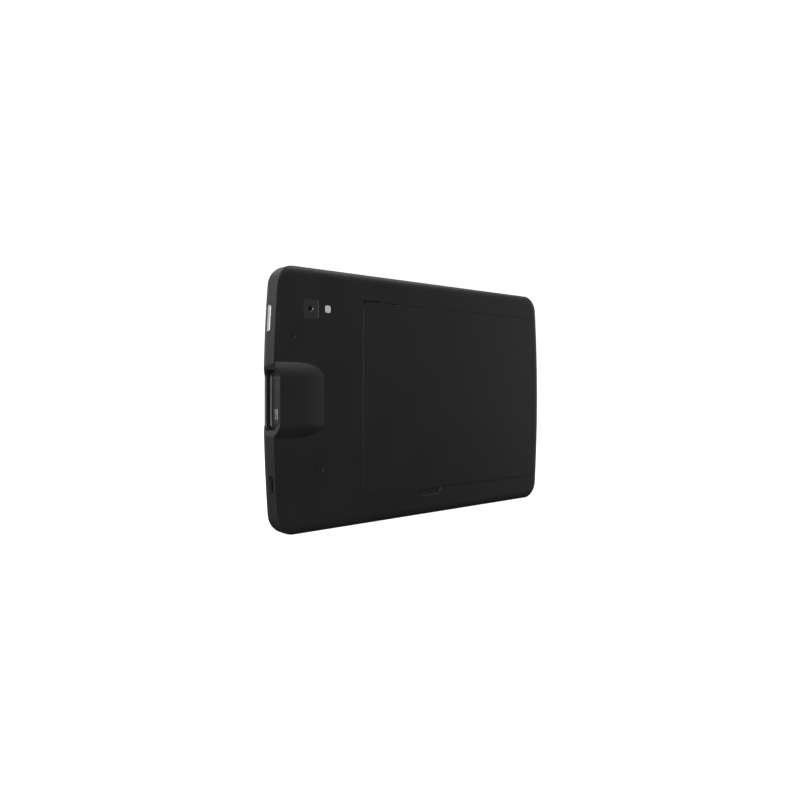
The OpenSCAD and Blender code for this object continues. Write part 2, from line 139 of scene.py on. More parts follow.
def cove_surface():
    """A flat disc from the middle out to the sweep, a quarter circle up, and an upright wall closed by a
    flat roof; each point turned about the upright axis."""
    bend = np.linspace(0, math.pi / 2, 12)
    radius = np.concatenate([np.linspace(0.02, cove_floor, 20), cove_floor + cove_sweep * np.sin(bend),
                             [cove_floor + cove_sweep] * 2, [0.02]])
    height = np.concatenate([np.zeros(20), cove_sweep * (1 - np.cos(bend)), [cove_top - 0.2, cove_top],
                             [cove_top]])
    turn = np.linspace(0, 2 * math.pi, cove_sides, endpoint=False)
    points = np.stack([radius[:, None] * np.cos(turn), radius[:, None] * np.sin(turn),
                       np.broadcast_to(height[:, None], (len(height), len(turn)))], axis=-1)
    return points, grid_faces(len(radius), cove_sides) + [list(range(cove_sides - 1, -1, -1))]


cove = piece("cove", *cove_surface())
paint, tree = material("white lacquered board, evenly lit")
glow = add(tree, "Emission", {"Color": linear("#ffffff"), "Strength": 0.86})
board = add(tree, "BsdfDiffuse", {"Color": linear("#f2f2f2")})
both = add(tree, "AddShader", {0: glow.outputs[0], 1: board.outputs[0]})
add(tree, "OutputMaterial", {"Surface": both.outputs[0]})
cove.data.materials.append(paint)
cove.visible_diffuse = False
cove.visible_glossy = False
cove.visible_transmission = False
cove.visible_shadow = False

world = bpy.data.worlds.new("dim room")
world.use_nodes = True
world.node_tree.nodes.clear()
room = add(world.node_tree, "Background", {"Color": linear("#ffffff"), "Strength": 0.05})
add(world.node_tree, "OutputWorld", {"Surface": room.outputs[0]})
bpy.context.scene.world = world


def soft_box(name, place, target, size, power):
    """A rectangular soft box that faces its target."""
    data = bpy.data.lights.new(name, "AREA")
    data.shape = "RECTANGLE"
    data.size, data.size_y = size
    data.energy = power
    made = bpy.data.objects.new(name, data)
    made.location = place
    made.rotation_euler = (Vector(target) - Vector(place)).to_track_quat("-Z", "Y").to_euler()
    bpy.context.scene.collection.objects.link(made)


soft_box("right box", (1.0, -0.15, 0.2), (0, 0, 0.08), (0.9, 0.8), 1.7)
soft_box("top box", (0.48, -0.12, 0.95), (0, 0, 0.08), (0.7, 0.6), 3.8)
soft_box("end box", (-0.8, 0.66, 0.4), (-0.1, 0, 0.08), (0.6, 0.6), 2.1)
soft_box("left box", (-0.95, -0.5, 0.3), (-0.1, 0, 0.08), (0.8, 0.8), 14)
soft_box("front box", (-0.15, 0.8, 1.0), (0, 0, 0.08), (0.8, 0.6), 3)

# ---------------------------------------------------------------------------
# Rear housing. One moulding of black glass-filled nylon: end walls, rolled
# back edges, the raised dock boss, the ledge of the battery cover and every
# port and window. Screwed to the chassis through the ledge.
# ---------------------------------------------------------------------------
MM = 0.001
front_plane = cad_box[1][1]


def stand(points):
    """Lays bench millimetres upright: x stays, y becomes height, and z, counted from the front plane
    towards the back, becomes depth."""
    points = np.asarray(points, float)
    return np.stack([points[..., 0] * MM, front_plane - points[..., 2] * MM, points[..., 1] * MM], axis=-1)


def bench(node):
    """Lowest and highest corners of a CAD node in bench millimetres."""
    low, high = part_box(node)
    return (np.array([low.x, low.z, front_plane - high.y]) / MM,
            np.array([high.x, high.z, front_plane - low.y]) / MM)


def bench_piece(name, shape):
    """A mesh object from the points and faces of a closed solid in bench millimetres."""
    points, faces = shape
    return piece(name, stand(points), faces)


housing_low, housing_high = bench("rear_housing")
cover_low, cover_high = bench("battery_cover")
half_width = housing_high[0]
height = housing_high[1]
mid = height / 2
back = cover_high[2]
boss_top = housing_high[2]
seam = housing_low[2]
corner_radius = 12
end_bow = 3.5
wall = 1.4
bow_radius = (mid ** 2 + end_bow ** 2) / (2 * end_bow)
bow_angle = math.asin((mid - corner_radius) / (bow_radius - corner_radius))
corner_x = half_width - bow_radius + (bow_radius - corner_radius) * math.cos(bow_angle)


def outline(inset=0.0):
    """The tablet's outline moved inwards: bowed ends as one large arc each, tangent corner arcs and
    straight long edges, anticlockwise from the right end."""
    def arc(cx, cy, radius, start, stop, steps):
        angle = np.linspace(start, stop, steps, endpoint=False)
        return np.stack([cx + radius * np.cos(angle), cy + radius * np.sin(angle)], axis=-1)

    half, turn, a = math.pi / 2, math.pi, bow_angle
    big, small, cy = bow_radius - inset, corner_radius - inset, mid - corner_radius
    edge = np.linspace(1, -1, 48)[:, None]
    top = np.concatenate([corner_x * edge, np.full_like(edge, mid + cy + small)], axis=-1)
    quarter = [arc(half_width - bow_radius, mid, big, -a, a, 64),
               arc(corner_x, mid + cy, small, a, half, 24), top,
               arc(-corner_x, mid + cy, small, half, turn - a, 25)[1:],
               arc(bow_radius - half_width, mid, big, turn - a, turn + a, 64),
               arc(-corner_x, mid - cy, small, turn + a, 3 * half, 24),
               np.concatenate([-top[:, :1], 2 * mid - top[:, 1:]], axis=-1),
               arc(corner_x, mid - cy, small, 3 * half, 4 * half - a, 25)[1:]]
    return np.concatenate(quarter)


def loft(rings):
    """Closed solid through a stack of outlines, each with its own inset, level and pull; the pull moves
    the left end back out by that much and fades to nothing at the right end."""
    rows = []
    for inset, level, pull in rings:
        flat = outline(inset)
        x = flat[:, 0] - pull * (0.5 - flat[:, 0] / (2 * (half_width - inset)))
        rows.append(np.stack([x, flat[:, 1], np.full(len(x), level)], axis=-1))
    return np.stack(rows), closed_faces(len(rows), len(rows[0]))


def closed_faces(rows, cols):
    """Faces between rings of points, with the first and the last ring filled in."""
    last = (rows - 1) * cols
    return grid_faces(rows, cols) + [list(range(cols - 1, -1, -1)), list(range(last, last + cols))]


def solid(shape, levels):
    """Closed solid through a flat outline at each level; shape gives the outline for a growth."""
    rows = []
    for level, growth in levels:
        flat = shape(growth)
        rows.append(np.concatenate([flat, np.full((len(flat), 1), float(level))], axis=-1))
    return np.stack(rows), closed_faces(len(rows), len(rows[0]))


def rounded(x0, x1, y0, y1, radius, steps=12):
    """Shape of a rectangle with round corners: four quarter circles joined by straights, anticlockwise."""
    turn = np.linspace(0, math.pi / 2, steps)

    def shape(growth=0.0):
        r = radius + growth
        corners = [(x1 - radius, y1 - radius, 0), (x0 + radius, y1 - radius, 1),
                   (x0 + radius, y0 + radius, 2), (x1 - radius, y0 + radius, 3)]
        return np.concatenate([np.stack([cx + r * np.cos(turn + k * math.pi / 2),
                                         cy + r * np.sin(turn + k * math.pi / 2)], axis=-1)
                               for cx, cy, k in corners])
    return shape


def round_hole(cx, cy, radius, steps=40):
    """Shape of a circle, anticlockwise."""
    turn = np.linspace(0, 2 * math.pi, steps, endpoint=False)

    def shape(growth=0.0):
        r = radius + growth
        return np.stack([cx + r * np.cos(turn), cy + r * np.sin(turn)], axis=-1)
    return shape


def cut(low, mouth, lip=0.0):
    """Levels of a cutter that leaves a chamfer as wide as its lip where it meets the face at the mouth."""
    return [(low, 0), (mouth - lip, 0), (mouth + 4 * lip, 5 * lip)] if lip else [(low, 0), (mouth, 0)]


def end_on(points):
    """Turns a solid that rises along z to run along x: outline x becomes y, outline y becomes z."""
    return points[..., [2, 0, 1]]


def edge_on(points):
    """Turns a solid that rises along z to run along y: outline x becomes z, outline y becomes x."""
    return points[..., [1, 2, 0]]


def turned(way, shape):
    """A closed solid with its points carried by a turn."""
    return way(shape[0]), shape[1]


def together(*solids):
    """One set of points and faces from several closed solids in bench millimetres."""
    points, faces, count = [], [], 0
    for more, sides in solids:
        more = more.reshape(-1, 3)
        points.append(more)
        faces += [[i + count for i in side] for side in sides]
        count += len(more)
    return np.concatenate(points), faces


def combine(body, shape, operation):
    """Joins to a piece, or cuts from it, closed solids in bench millimetres, and leaves one closed mesh."""
    tool = bench_piece("tool", shape)
    step = body.modifiers.new("step", "BOOLEAN")
    step.object, step.operation, step.solver, step.use_self = tool, operation, "EXACT", True
    graph = bpy.context.evaluated_depsgraph_get()
    graph.update()
    made = bpy.data.meshes.new_from_object(body.evaluated_get(graph))
    body.modifiers.clear()
    body.data = made
    bpy.data.objects.remove(tool)


def smooth(made, angle=28, flat=30):
    """Shades a piece smooth, apart from edges sharper than the angle and the rims of its flat faces,
    which are the faces larger than so many square millimetres."""
    shape = bmesh.new()
    shape.from_mesh(made.data)
    limit = math.radians(angle)
    for face in shape.faces:
        face.smooth = True
    for edge in shape.edges:
        sharp = edge.calc_face_angle(0) > limit
        edge.smooth = not (sharp or any(face.calc_area() > flat * MM * MM for face in edge.link_faces))
    shape.to_mesh(made.data)
    shape.free()


roll = np.linspace(0, math.pi / 2, 21)
roll_in, roll_down = 5.5, 3.2
seam_break = 0.22
back_rings = ([(seam_break, seam, 0), (0, seam + seam_break, 0)]
              + [(roll_in * (1 - math.cos(a)) ** 1.15, back - roll_down * (1 - math.sin(a)),
                  roll_in * (1 - math.cos(a)) ** 1.15) for a in roll])
inner_rings = [(wall, seam - 1, 0), (wall, back - wall - 2, 0), (wall + 2.6, back - wall, 2.6)]
boss_left, boss_flat, boss_foot = -half_width + 0.9, -100.9, -82.0
boss_flat_half, boss_foot_half = 13.0, 21.0


def dock_boss():
    """Height over a grid: full rise on the flat, then falling with the 1.7th power of the distance past
    it, counted in widths of the slope, so the slope is steepest at its foot; elliptical at the corners."""
    x, y = np.meshgrid(np.linspace(boss_left, boss_foot + 1, 72), np.linspace(-22, 22, 96), indexing="ij")
    along = np.clip((x - boss_flat) / (boss_foot - boss_flat), 0, None)
    across = np.clip((abs(y) - boss_flat_half) / (boss_foot_half - boss_flat_half), 0, None)
    fall = np.hypot(along, across) ** 1.7
    top = back + np.maximum((boss_top - back) * (1 - fall), -0.6)
    rows, cols = x.shape
    upper = np.stack([x, y + mid, top], axis=-1)
    lower = np.stack([x, y + mid, np.full_like(x, back - 0.7)], axis=-1)
    index = np.arange(rows * cols).reshape(rows, cols)
    rim = np.concatenate([index[:-1, 0], index[-1, :-1], index[:0:-1, -1], index[0, :0:-1]])
    beside, below = np.roll(rim, -1), rows * cols
    top_faces = np.array(grid_faces(rows, cols, loop=False))[:, ::-1]
    walls = np.stack([rim, rim + below, beside + below, beside], axis=-1)
    faces = np.concatenate([top_faces, top_faces[:, ::-1] + below, walls])
    return np.concatenate([upper.reshape(-1, 3), lower.reshape(-1, 3)]), faces.tolist()


housing = bench_piece("rear_housing_shell", loft(back_rings))
combine(housing, loft(inner_rings), "DIFFERENCE")
plate_out = 1.5
frame_plate = solid(rounded(cover_low[0] - plate_out, cover_high[0] + plate_out, cover_low[1] - plate_out,
                            cover_high[1] + plate_out, 6), cut(cover_low[2], back - 0.4))
seat_half, seat_end = 19, -108.9
dock_seat = solid(rounded(boss_left, seat_end, mid - seat_half, mid + seat_half, 0.5),
                  cut(seam, back - 0.3))
for joined in (dock_boss(), frame_plate, dock_seat):
    combine(housing, joined, "UNION")

# The end wall is planed flat round the dock, and the plug pocket goes into it through both mouldings.
lean = math.radians(1.8)
dock_face = -113.4
flat_half = 13.3
flare, flare_deep = 24.7, 8


def lean_cut():
    """Wedge whose inner face leans back by the lean angle about the foot of the wall, wider outwards."""
    wide = flat_half + flare
    corners = np.array([[-flare_deep, -wide], [0, -flat_half], [0, flat_half], [-flare_deep, wide]], float)
    points, faces = solid(lambda growth: corners + growth, cut(-6, 16))
    x = dock_face + points[..., 0] * math.cos(lean) + points[..., 2] * math.sin(lean)
    z = seam - points[..., 0] * math.sin(lean) + points[..., 2] * math.cos(lean)
    return np.stack([x, points[..., 1] + mid, z], axis=-1), faces


def slot(across, middle_y, middle_z):
    """Shape of a slot with round ends in the end wall, from its length and width."""
    length, width = across
    return rounded(middle_y - length / 2, middle_y + length / 2, middle_z - width / 2, middle_z + width / 2,
                   width / 2 - 0.001)


connector_low, connector_high = bench("dock_connector")
pocket_middle, pocket_floor = 7.2, -109.9
pocket_half, pocket_half_width, pocket_round = 16.5, 6, 4
mouth_lip, floor_break = 0.35, 0.4
plug_shape = rounded(mid - pocket_half, mid + pocket_half, pocket_middle - pocket_half_width,
                     pocket_middle + pocket_half_width, pocket_round)
plug_pocket = turned(end_on, solid(plug_shape, [(dock_face - 6.6, mouth_lip), (dock_face, mouth_lip),
                                                (dock_face + mouth_lip, 0), (pocket_floor - floor_break, 0),
                                                (pocket_floor, -floor_break)]))
usb_low, usb_high = bench("usb_port")
usb_size = (usb_high[1] - usb_low[1] + 0.1, usb_high[2] - usb_low[2] + 0.1)
usb_shape = slot(usb_size, (usb_low[1] + usb_high[1]) / 2, (usb_low[2] + usb_high[2]) / 2)
usb_slot = turned(end_on, solid(usb_shape, [(-half_width - 1, 0.9), (-113.0, 0.02), (-110, 0.02)]))
key_y, key_z = 120.0, 6.25
key_turn = math.asin((key_y - mid) / bow_radius)


def at_key(points):
    """Carries points from the key's own frame, where x points inwards, to its place in the bowed wall."""
    c, s = math.cos(key_turn), math.sin(key_turn)
    x = -half_width + bow_radius - bow_radius * math.cos(key_turn) + c * points[..., 0] + s * points[..., 1]
    y = key_y - s * points[..., 0] + c * points[..., 1]
    return np.stack([x, y, points[..., 2] + key_z], axis=-1)


slot_length, slot_width, slot_round = 15.3, 3.2, 1.3
key_slot = solid(rounded(-slot_length / 2, slot_length / 2, -slot_width / 2, slot_width / 2, slot_round),
                 [(-1, 1.15), (0.15, 0), (6, 0)])
key_slot = turned(at_key, turned(end_on, key_slot))
rocker_low, rocker_high = bench("volume_rocker")
rocker_slot = solid(rounded(key_z - slot_width / 2, key_z + slot_width / 2, rocker_low[0] - 0.25,
                            rocker_high[0] + 0.25, slot_round),
                    [(height - 3, 0), (height - 0.15, 0), (height + 1, 1.15)])
rocker_slot = turned(edge_on, rocker_slot)

# The recess of the cover, the windows, the finger notch and the small holes all go in from the back.
gap, ledge, play = 0.18, 5.0, 0.1
cover_floor = bench("cover_pads")[1][2]
window_low, window_high = bench("camera_window")
flash_low, flash_high = bench("flash_lens")
flash_low, flash_high = flash_low + [0.45, 0.5, 0], flash_high - [0.45, 0.5, 0]
vent_low, vent_high = bench("pressure_vent")
mic_low, mic_high = bench("microphone")


def centre(low, high):
    """Middle of a node in the plane of the back."""
    return (low[0] + high[0]) / 2, (low[1] + high[1]) / 2


def around(low, high, growth, radius):
    """Rounded rectangle that stands off a node by the growth."""
    return rounded(low[0] - growth, high[0] + growth, low[1] - growth, high[1] + growth, radius)


mouths = [solid(around(cover_low, cover_high, gap, 5.25), cut(cover_floor, back, 0.05)),
          solid(around(window_low, window_high, 0.06, 1.2), cut(window_low[2], back, 0.15)),
          solid(around(flash_low, flash_high, 0.06, 0.95), cut(flash_low[2] - 1, back, 0.12)),
          solid(round_hole(*centre(mic_low, mic_high), 0.6), cut(mic_high[2] - 1, back, 0.25)),
          solid(round_hole(*centre(vent_low, vent_high), 3.0), cut(vent_low[2], back, 0.08))]
throats = [solid(rounded(cover_low[0] + ledge, cover_high[0] - ledge, cover_low[1] + ledge,
                         cover_high[1] - ledge, 3), cut(cover_low[2] - 5, back)),
           solid(round_hole(*centre(window_low, window_high), 3.9), cut(back - 4, back - 0.5)),
           solid(round_hole(*centre(vent_low, vent_high), 1.0), cut(back - 4, back - 0.4)),
           solid(rounded(connector_low[0] - 0.5, -108, connector_low[1] - play, connector_high[1] + play,
                         0.3), cut(connector_low[2] - play, connector_high[2] + play))]
edge_in = 3.1
rows_y = (mid - (cover_high[1] - mid - edge_in), mid + (cover_high[1] - mid - edge_in))
columns_x = (cover_low[0] + edge_in, cover_high[0] - edge_in)
pegs_at = [(x, y) for x in (-35, 25, 85) for y in rows_y]
screws_at = ([(x, mid + side * 38) for x in columns_x for side in (-1, 1)]
             + [(x, y) for x in (-15, 60) for y in rows_y])
peg_holes = [solid(rounded(x - 3.7, x + 3.7, y - 0.8, y + 0.8, 0.2), cut(cover_low[2] - 5, back))
             for x, y in pegs_at]
screw_seats = [solid(round_hole(x, y, 1.6), cut(cover_floor - 0.7, back)) for x, y in screws_at]
notch_floor = back - 0.9
notches = [solid(rounded(-8, 11, cover_low[1] - 4, cover_low[1] + 4, 3.99), cut(notch_floor, back, 0.25))]
for x0, x1, out, radius in ((-53.4, -40.6, 0.95, 0.4), (-32, -26, 0.7, 0.3)):
    slot_shape = rounded(x0, x1, cover_high[1] - 1, cover_high[1] + out, radius)
    notches.append(solid(slot_shape, cut(notch_floor, back)))
for group in ([lean_cut()], [plug_pocket, usb_slot], [key_slot, rocker_slot], mouths, throats,
              peg_holes + screw_seats, notches):
    combine(housing, together(*group), "DIFFERENCE")
smooth(housing)
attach(housing, "tablet")
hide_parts("rear_housing")


def surface_point(tree):
    """The place of each point of the surface on its own piece, in metres."""
    return add(tree, "TexCoord").outputs["Object"]


def blend(tree, factor, first, second):
    """A colour between two others, by a factor from 0 to 1."""
    mix = add(tree, "Mix", {"Factor": factor, "A": first, "B": second}, data_type="RGBA")
    return mix.outputs["Result"]


def lighter(hex_colour, times):
    """The linear colour of an sRGB hex value, so many times as bright."""
    return [c * times for c in linear(hex_colour)[:3]] + [1]


def finished(made, tree, inputs):
    """The material, ended with a surface shader that has these inputs."""
    shader = add(tree, "BsdfPrincipled", inputs)
    add(tree, "OutputMaterial", {"Surface": shader.outputs[0]})
    return made


def moulded_nylon(name, colour, roughness=0.5, grain=0.22):
    """Glass-filled nylon from a spark-eroded mould: a fine even grain breaks the gloss into a soft sheen.
    The real grain is 0.1 mm; it is drawn coarser so that it shows."""
    made, tree = material(name)
    place_at = surface_point(tree)
    pits = add(tree, "TexNoise", {"Vector": place_at, "Scale": 1 / (grain * MM), "Detail": 2.0,
                                  "Roughness": 0.6})
    cloud = add(tree, "TexNoise", {"Vector": place_at, "Scale": 1 / (28 * MM), "Detail": 3.0})
    tone = blend(tree, cloud.outputs["Fac"], linear(colour), lighter(colour, 1.35))
    gloss = add(tree, "MapRange", {"Value": cloud.outputs["Fac"], "From Min": 0.3, "From Max": 0.7,
                                   "To Min": roughness - 0.03, "To Max": roughness + 0.04})
    bump = add(tree, "Bump", {"Height": pits.outputs["Fac"], "Strength": 0.25, "Distance": 0.02 * MM})
    return finished(made, tree, {"Base Color": tone, "Roughness": gloss.outputs["Result"], "IOR": 1.5,
                                 "Normal": bump.outputs["Normal"]})


nylon = moulded_nylon("black moulded nylon, spark-eroded grain", "#1a1a1b")


def dress(made, finish):
    """Gives a piece one material."""
    made.data.materials.clear()
    made.data.materials.append(finish)


def dress_nodes(finish, *nodes):
    """Gives CAD nodes one material; their shape is right and they stay as they are."""
    for node in nodes:
        dress(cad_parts[node], finish)


dress(housing, nylon)


def settle(made, body, nodes, finish):
    """Says what a piece rides and which CAD nodes it stands for, and gives it its finish."""
    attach(made, body)
    if nodes:
        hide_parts(*nodes)
    dress(made, finish)


def place(name, shape, body, nodes, slot_name, finish, angle=28):
    """A finished piece from one closed solid, smoothed and settled."""
    made = bench_piece(name, shape)
    smooth(made, angle)
    settle(made, body, nodes, finish)

# ---------------------------------------------------------------------------
# Front bezel. A satin polycarbonate rim, moulded in one piece, that rolls from
# the seam round to the glass. Eight screws from inside hold it to the chassis.
# ---------------------------------------------------------------------------
glass_low, glass_high = bench("cover_glass")
panel_low, panel_high = bench("display_panel")
front_in, front_deep = 3.2, 3.5
turn = np.linspace(0, math.pi / 2, 15)
front_rings = ([(front_in * (1 - math.sin(a)), front_deep * (1 - math.cos(a)), 0) for a in turn]
               + [(0.22, seam, 0)])
bezel = bench_piece("front_bezel_rim", loft(front_rings))
recess = solid(around(glass_low, glass_high, 0.15, 6.15),
               [(-1, 1.12), (0.02, 0.1), (0.12, 0), (panel_low[2], 0)])
opening = solid(around(panel_low, panel_high, 0.5, 1), cut(0.5, seam + 1))
eyes = [solid(rounded(x - size, x + size, 139.2 - size, 139.2 + size, 0.3), cut(1, seam + 1))
        for x, size in ((0, 3.3), (14, 1.7))]
grilles = [solid(round_hole(side * 110.4, 38 + 2.4 * i, 0.5, 24), [(-0.5, 0.62), (0.12, 0), (seam + 1, 0)])
           for side in (-1, 1) for i in range(6)]
for group in ([recess], [opening], eyes + grilles, [lean_cut()], [plug_pocket]):
    combine(bezel, together(*group), "DIFFERENCE")
smooth(bezel)
satin = moulded_nylon("black polycarbonate, satin moulding", "#161617", 0.4, 0.16)
settle(bezel, "tablet", ["front_bezel"], satin)

# ---------------------------------------------------------------------------
# Cover glass. Toughened glass with ground round edges, printed black on its
# inner face round the display window; taped into the bezel's recess.
# ---------------------------------------------------------------------------


def printed_glass(name):
    """Toughened glass over black ink: a clear black gloss, deeper and bluer where the display shows
    through, with faint wiped smears in its roughness."""
    made, tree = material(name)
    place_at = surface_point(tree)
    axes = add(tree, "SeparateXYZ", {"Vector": place_at})
    across = add(tree, "Math", {0: axes.outputs["X"]}, operation="ABSOLUTE")
    centred = add(tree, "Math", {0: axes.outputs["Z"], 1: mid * MM}, operation="SUBTRACT")
    up = add(tree, "Math", {0: centred.outputs[0]}, operation="ABSOLUTE")
    inside_x = add(tree, "Math", {0: across.outputs[0], 1: 92.5 * MM}, operation="LESS_THAN")
    inside_y = add(tree, "Math", {0: up.outputs[0], 1: 59 * MM}, operation="LESS_THAN")
    window = add(tree, "Math", {0: inside_x.outputs[0], 1: inside_y.outputs[0]}, operation="MULTIPLY")
    ink = blend(tree, window.outputs[0], linear("#060607"), linear("#0c0e12"))
    smear = add(tree, "TexNoise", {"Vector": place_at, "Scale": 1 / (34 * MM), "Detail": 4.0,
                                   "Distortion": 1.2})
    gloss = add(tree, "MapRange", {"Value": smear.outputs["Fac"], "From Min": 0.4, "From Max": 0.7,
                                   "To Min": 0.05, "To Max": 0.13})
    return finished(made, tree, {"Base Color": ink, "Roughness": gloss.outputs["Result"], "IOR": 1.52})


glass_z0, glass_z1 = glass_low[2], glass_high[2]
place("cover_glass_sheet", solid(rounded(glass_low[0], glass_high[0], glass_low[1], glass_high[1], 6, 16),
                                 [(glass_z0, -0.3), (glass_z0 + 0.03, -0.17), (glass_z0 + 0.1, -0.07),
                                  (glass_z0 + 0.25, 0), (glass_z1 - 0.05, 0), (glass_z1, -0.05)]),
      "tablet", ["cover_glass"], "front_glass", printed_glass("toughened glass, black printed border"), 60)

# ---------------------------------------------------------------------------
# Display panel. A laminated liquid-crystal panel, switched off, with a stamped
# steel plate behind it; both are taped to the glass.
# ---------------------------------------------------------------------------


def crystal_panel(name):
    """A switched-off panel: near black with a fine grid between its cells. The real pitch is 0.16 mm; it
    is drawn at 0.8 mm so that it shows."""
    made, tree = material(name)
    place_at = surface_point(tree)
    turned = add(tree, "Mapping", {"Vector": place_at, "Rotation": (math.pi / 2, 0, 0)})
    cells = add(tree, "TexBrick", {"Vector": turned.outputs["Vector"], "Color1": linear("#0b0d12"),
                                   "Color2": linear("#0d0f14"), "Mortar": linear("#040506"), "Scale": 1.0,
                                   "Mortar Size": 0.06 * MM, "Brick Width": 0.8 * MM,
                                   "Row Height": 0.8 * MM}, offset=0.0)
    return finished(made, tree, {"Base Color": cells.outputs["Color"], "Roughness": 0.18, "IOR": 1.5})


def rolled_metal(name, colour, roughness=0.3, grain=(12, 0.25, 0.25), worn="#3a3b3d"):
    """Rolled and stamped sheet: bright, with fine lines along the rolling direction and duller cloudy
    patches where it was handled. The real lines are 0.03 mm; they are drawn wider so that they show."""
    made, tree = material(name)
    place_at = surface_point(tree)
    drawn = add(tree, "Mapping", {"Vector": place_at, "Scale": tuple(1 / (g * MM) for g in grain)})
    lines = add(tree, "TexNoise", {"Vector": drawn.outputs["Vector"], "Scale": 1.0, "Detail": 3.0})
    patch = add(tree, "TexNoise", {"Vector": place_at, "Scale": 1 / (9 * MM), "Detail": 3.0})
    soft = add(tree, "MapRange", {"Value": patch.outputs["Fac"], "From Min": 0.5, "From Max": 0.9,
                                  "To Min": 0.0, "To Max": 0.5})
    tone = blend(tree, soft.outputs["Result"], linear(colour), linear(worn))
    gloss = add(tree, "MapRange", {"Value": lines.outputs["Fac"], "From Min": 0.3, "From Max": 0.7,
                                   "To Min": roughness - 0.06, "To Max": roughness + 0.08})
    bump = add(tree, "Bump", {"Height": lines.outputs["Fac"], "Strength": 0.15, "Distance": 0.01 * MM})
    return finished(made, tree, {"Base Color": tone, "Metallic": 1.0, "Roughness": gloss.outputs["Result"],
                                 "Normal": bump.outputs["Normal"]})


dress_nodes(crystal_panel("liquid-crystal panel, switched off"), "display_panel")
bright_steel = rolled_metal("tinned steel sheet, stamped", "#c2c4c6")
dress_nodes(bright_steel, "display_backplate")

# ---------------------------------------------------------------------------
# Frame seal and cover seal. Thin silicone beads, moulded as loops: one lies in
# the bezel's groove, the other in the ledge under the battery cover.
# ---------------------------------------------------------------------------


def moulded_rubber(name, colour, roughness=0.72, grain=0.35):
    """Silicone rubber from a satin mould: matt, with a faint dusty mottle and a soft sheen at its edges."""
    made, tree = material(name)
    place_at = surface_point(tree)
    dust = add(tree, "TexNoise", {"Vector": place_at, "Scale": 1 / (4 * MM), "Detail": 4.0})
    skin = add(tree, "TexNoise", {"Vector": place_at, "Scale": 1 / (grain * MM), "Detail": 2.0})
    tone = blend(tree, dust.outputs["Fac"], linear(colour), lighter(colour, 1.5))
    bump = add(tree, "Bump", {"Height": skin.outputs["Fac"], "Strength": 0.3, "Distance": 0.03 * MM})
    return finished(made, tree, {"Base Color": tone, "Roughness": roughness, "IOR": 1.43,
                                 "Sheen Weight": 0.1, "Normal": bump.outputs["Normal"]})


dress_nodes(moulded_rubber("silicone rubber, satin moulding", "#2c2c2c"), "frame_seal", "cover_seal")

# ---------------------------------------------------------------------------
# Support chassis and battery tray. A magnesium die-casting, bead-blasted, that
# carries every inner part; the nylon tray clips over it and cradles the pack.
# ---------------------------------------------------------------------------


def cast_metal(name, colour, roughness=0.5):
    """Die-cast magnesium after bead blasting: an even grey with shallow dimples and a cloudy skin. The
    dimples are 0.1 mm; they are drawn at 0.4 mm."""
    made, tree = material(name)
    place_at = surface_point(tree)
    dimples = add(tree, "TexVoronoi", {"Vector": place_at, "Scale": 1 / (0.4 * MM)}, feature="SMOOTH_F1")
    flow = add(tree, "TexNoise", {"Vector": place_at, "Scale": 1 / (14 * MM), "Detail": 5.0,
                                  "Distortion": 0.8})
    tone = blend(tree, flow.outputs["Fac"], linear(colour), linear("#a7aaad"))
    bump = add(tree, "Bump", {"Height": dimples.outputs["Distance"], "Strength": 0.3,
                              "Distance": 0.03 * MM})
    return finished(made, tree, {"Base Color": tone, "Metallic": 1.0, "Roughness": roughness,
                                 "Normal": bump.outputs["Normal"]})


dress_nodes(cast_metal("magnesium casting, bead-blasted", "#7f8386"), "support_chassis")
inner_nylon = moulded_nylon("black moulded nylon, plain", "#1d1e20", 0.45, 0.4)
dress_nodes(inner_nylon, "battery_tray")

# ---------------------------------------------------------------------------
# Main board. A fibreglass laminate with green solder mask over etched copper,
# held on the chassis posts by five screws.
# ---------------------------------------------------------------------------


def masked_laminate(name):
    """Solder-masked board: glossy green, paler where a copper track runs beneath, in runs 0.9 mm apart,
    with small tinned spots."""
    made, tree = material(name)
    place_at = surface_point(tree)
    turned = add(tree, "Mapping", {"Vector": place_at, "Rotation": (math.pi / 2, 0, 0)})
    tracks = add(tree, "TexBrick", {"Vector": turned.outputs["Vector"], "Color1": linear("#0f3d26"),
                                    "Color2": linear("#12472c"), "Mortar": linear("#1f6b43"), "Scale": 1.0,
                                    "Mortar Size": 0.1 * MM, "Brick Width": 7 * MM, "Row Height": 0.9 * MM})
    spots = add(tree, "TexVoronoi", {"Vector": place_at, "Scale": 1 / (3.2 * MM)})
    tinned = add(tree, "Math", {0: spots.outputs["Distance"], 1: 0.16}, operation="LESS_THAN")
    tone = blend(tree, tinned.outputs[0], tracks.outputs["Color"], linear("#b9bcbe"))
    bump = add(tree, "Bump", {"Height": tracks.outputs["Fac"], "Strength": 0.3, "Distance": 0.03 * MM})
    return finished(made, tree, {"Base Color": tone, "Metallic": tinned.outputs[0], "Roughness": 0.3,
                                 "IOR": 1.5, "Normal": bump.outputs["Normal"]})


dress_nodes(masked_laminate("fibreglass board, green solder mask"), "main_board")

# ---------------------------------------------------------------------------
# Chips, shields and heat spreader. Moulded epoxy packages soldered to the
# board, under folded cans of tinned steel, with a rolled copper foil on top.
# ---------------------------------------------------------------------------
epoxy = moulded_rubber("black epoxy moulding", "#131416", 0.5, 0.15)
dress_nodes(epoxy, "processor", "memory_chips")
can_steel = rolled_metal("tinned steel can, folded", "#b4b7ba", 0.34, (0.25, 12, 12))
dress_nodes(can_steel, "processor_shield", "radio_shield", "card_reader")
copper = rolled_metal("copper foil, rolled", "#b8714a", 0.28, (0.3, 14, 14), "#6e3d28")
dress_nodes(copper, "heat_spreader")

# ---------------------------------------------------------------------------
# Antennas. A fired ceramic patch for the satellites, taped to the board, and
# two copper strips on flexible film along the long edges of the housing.
# ---------------------------------------------------------------------------


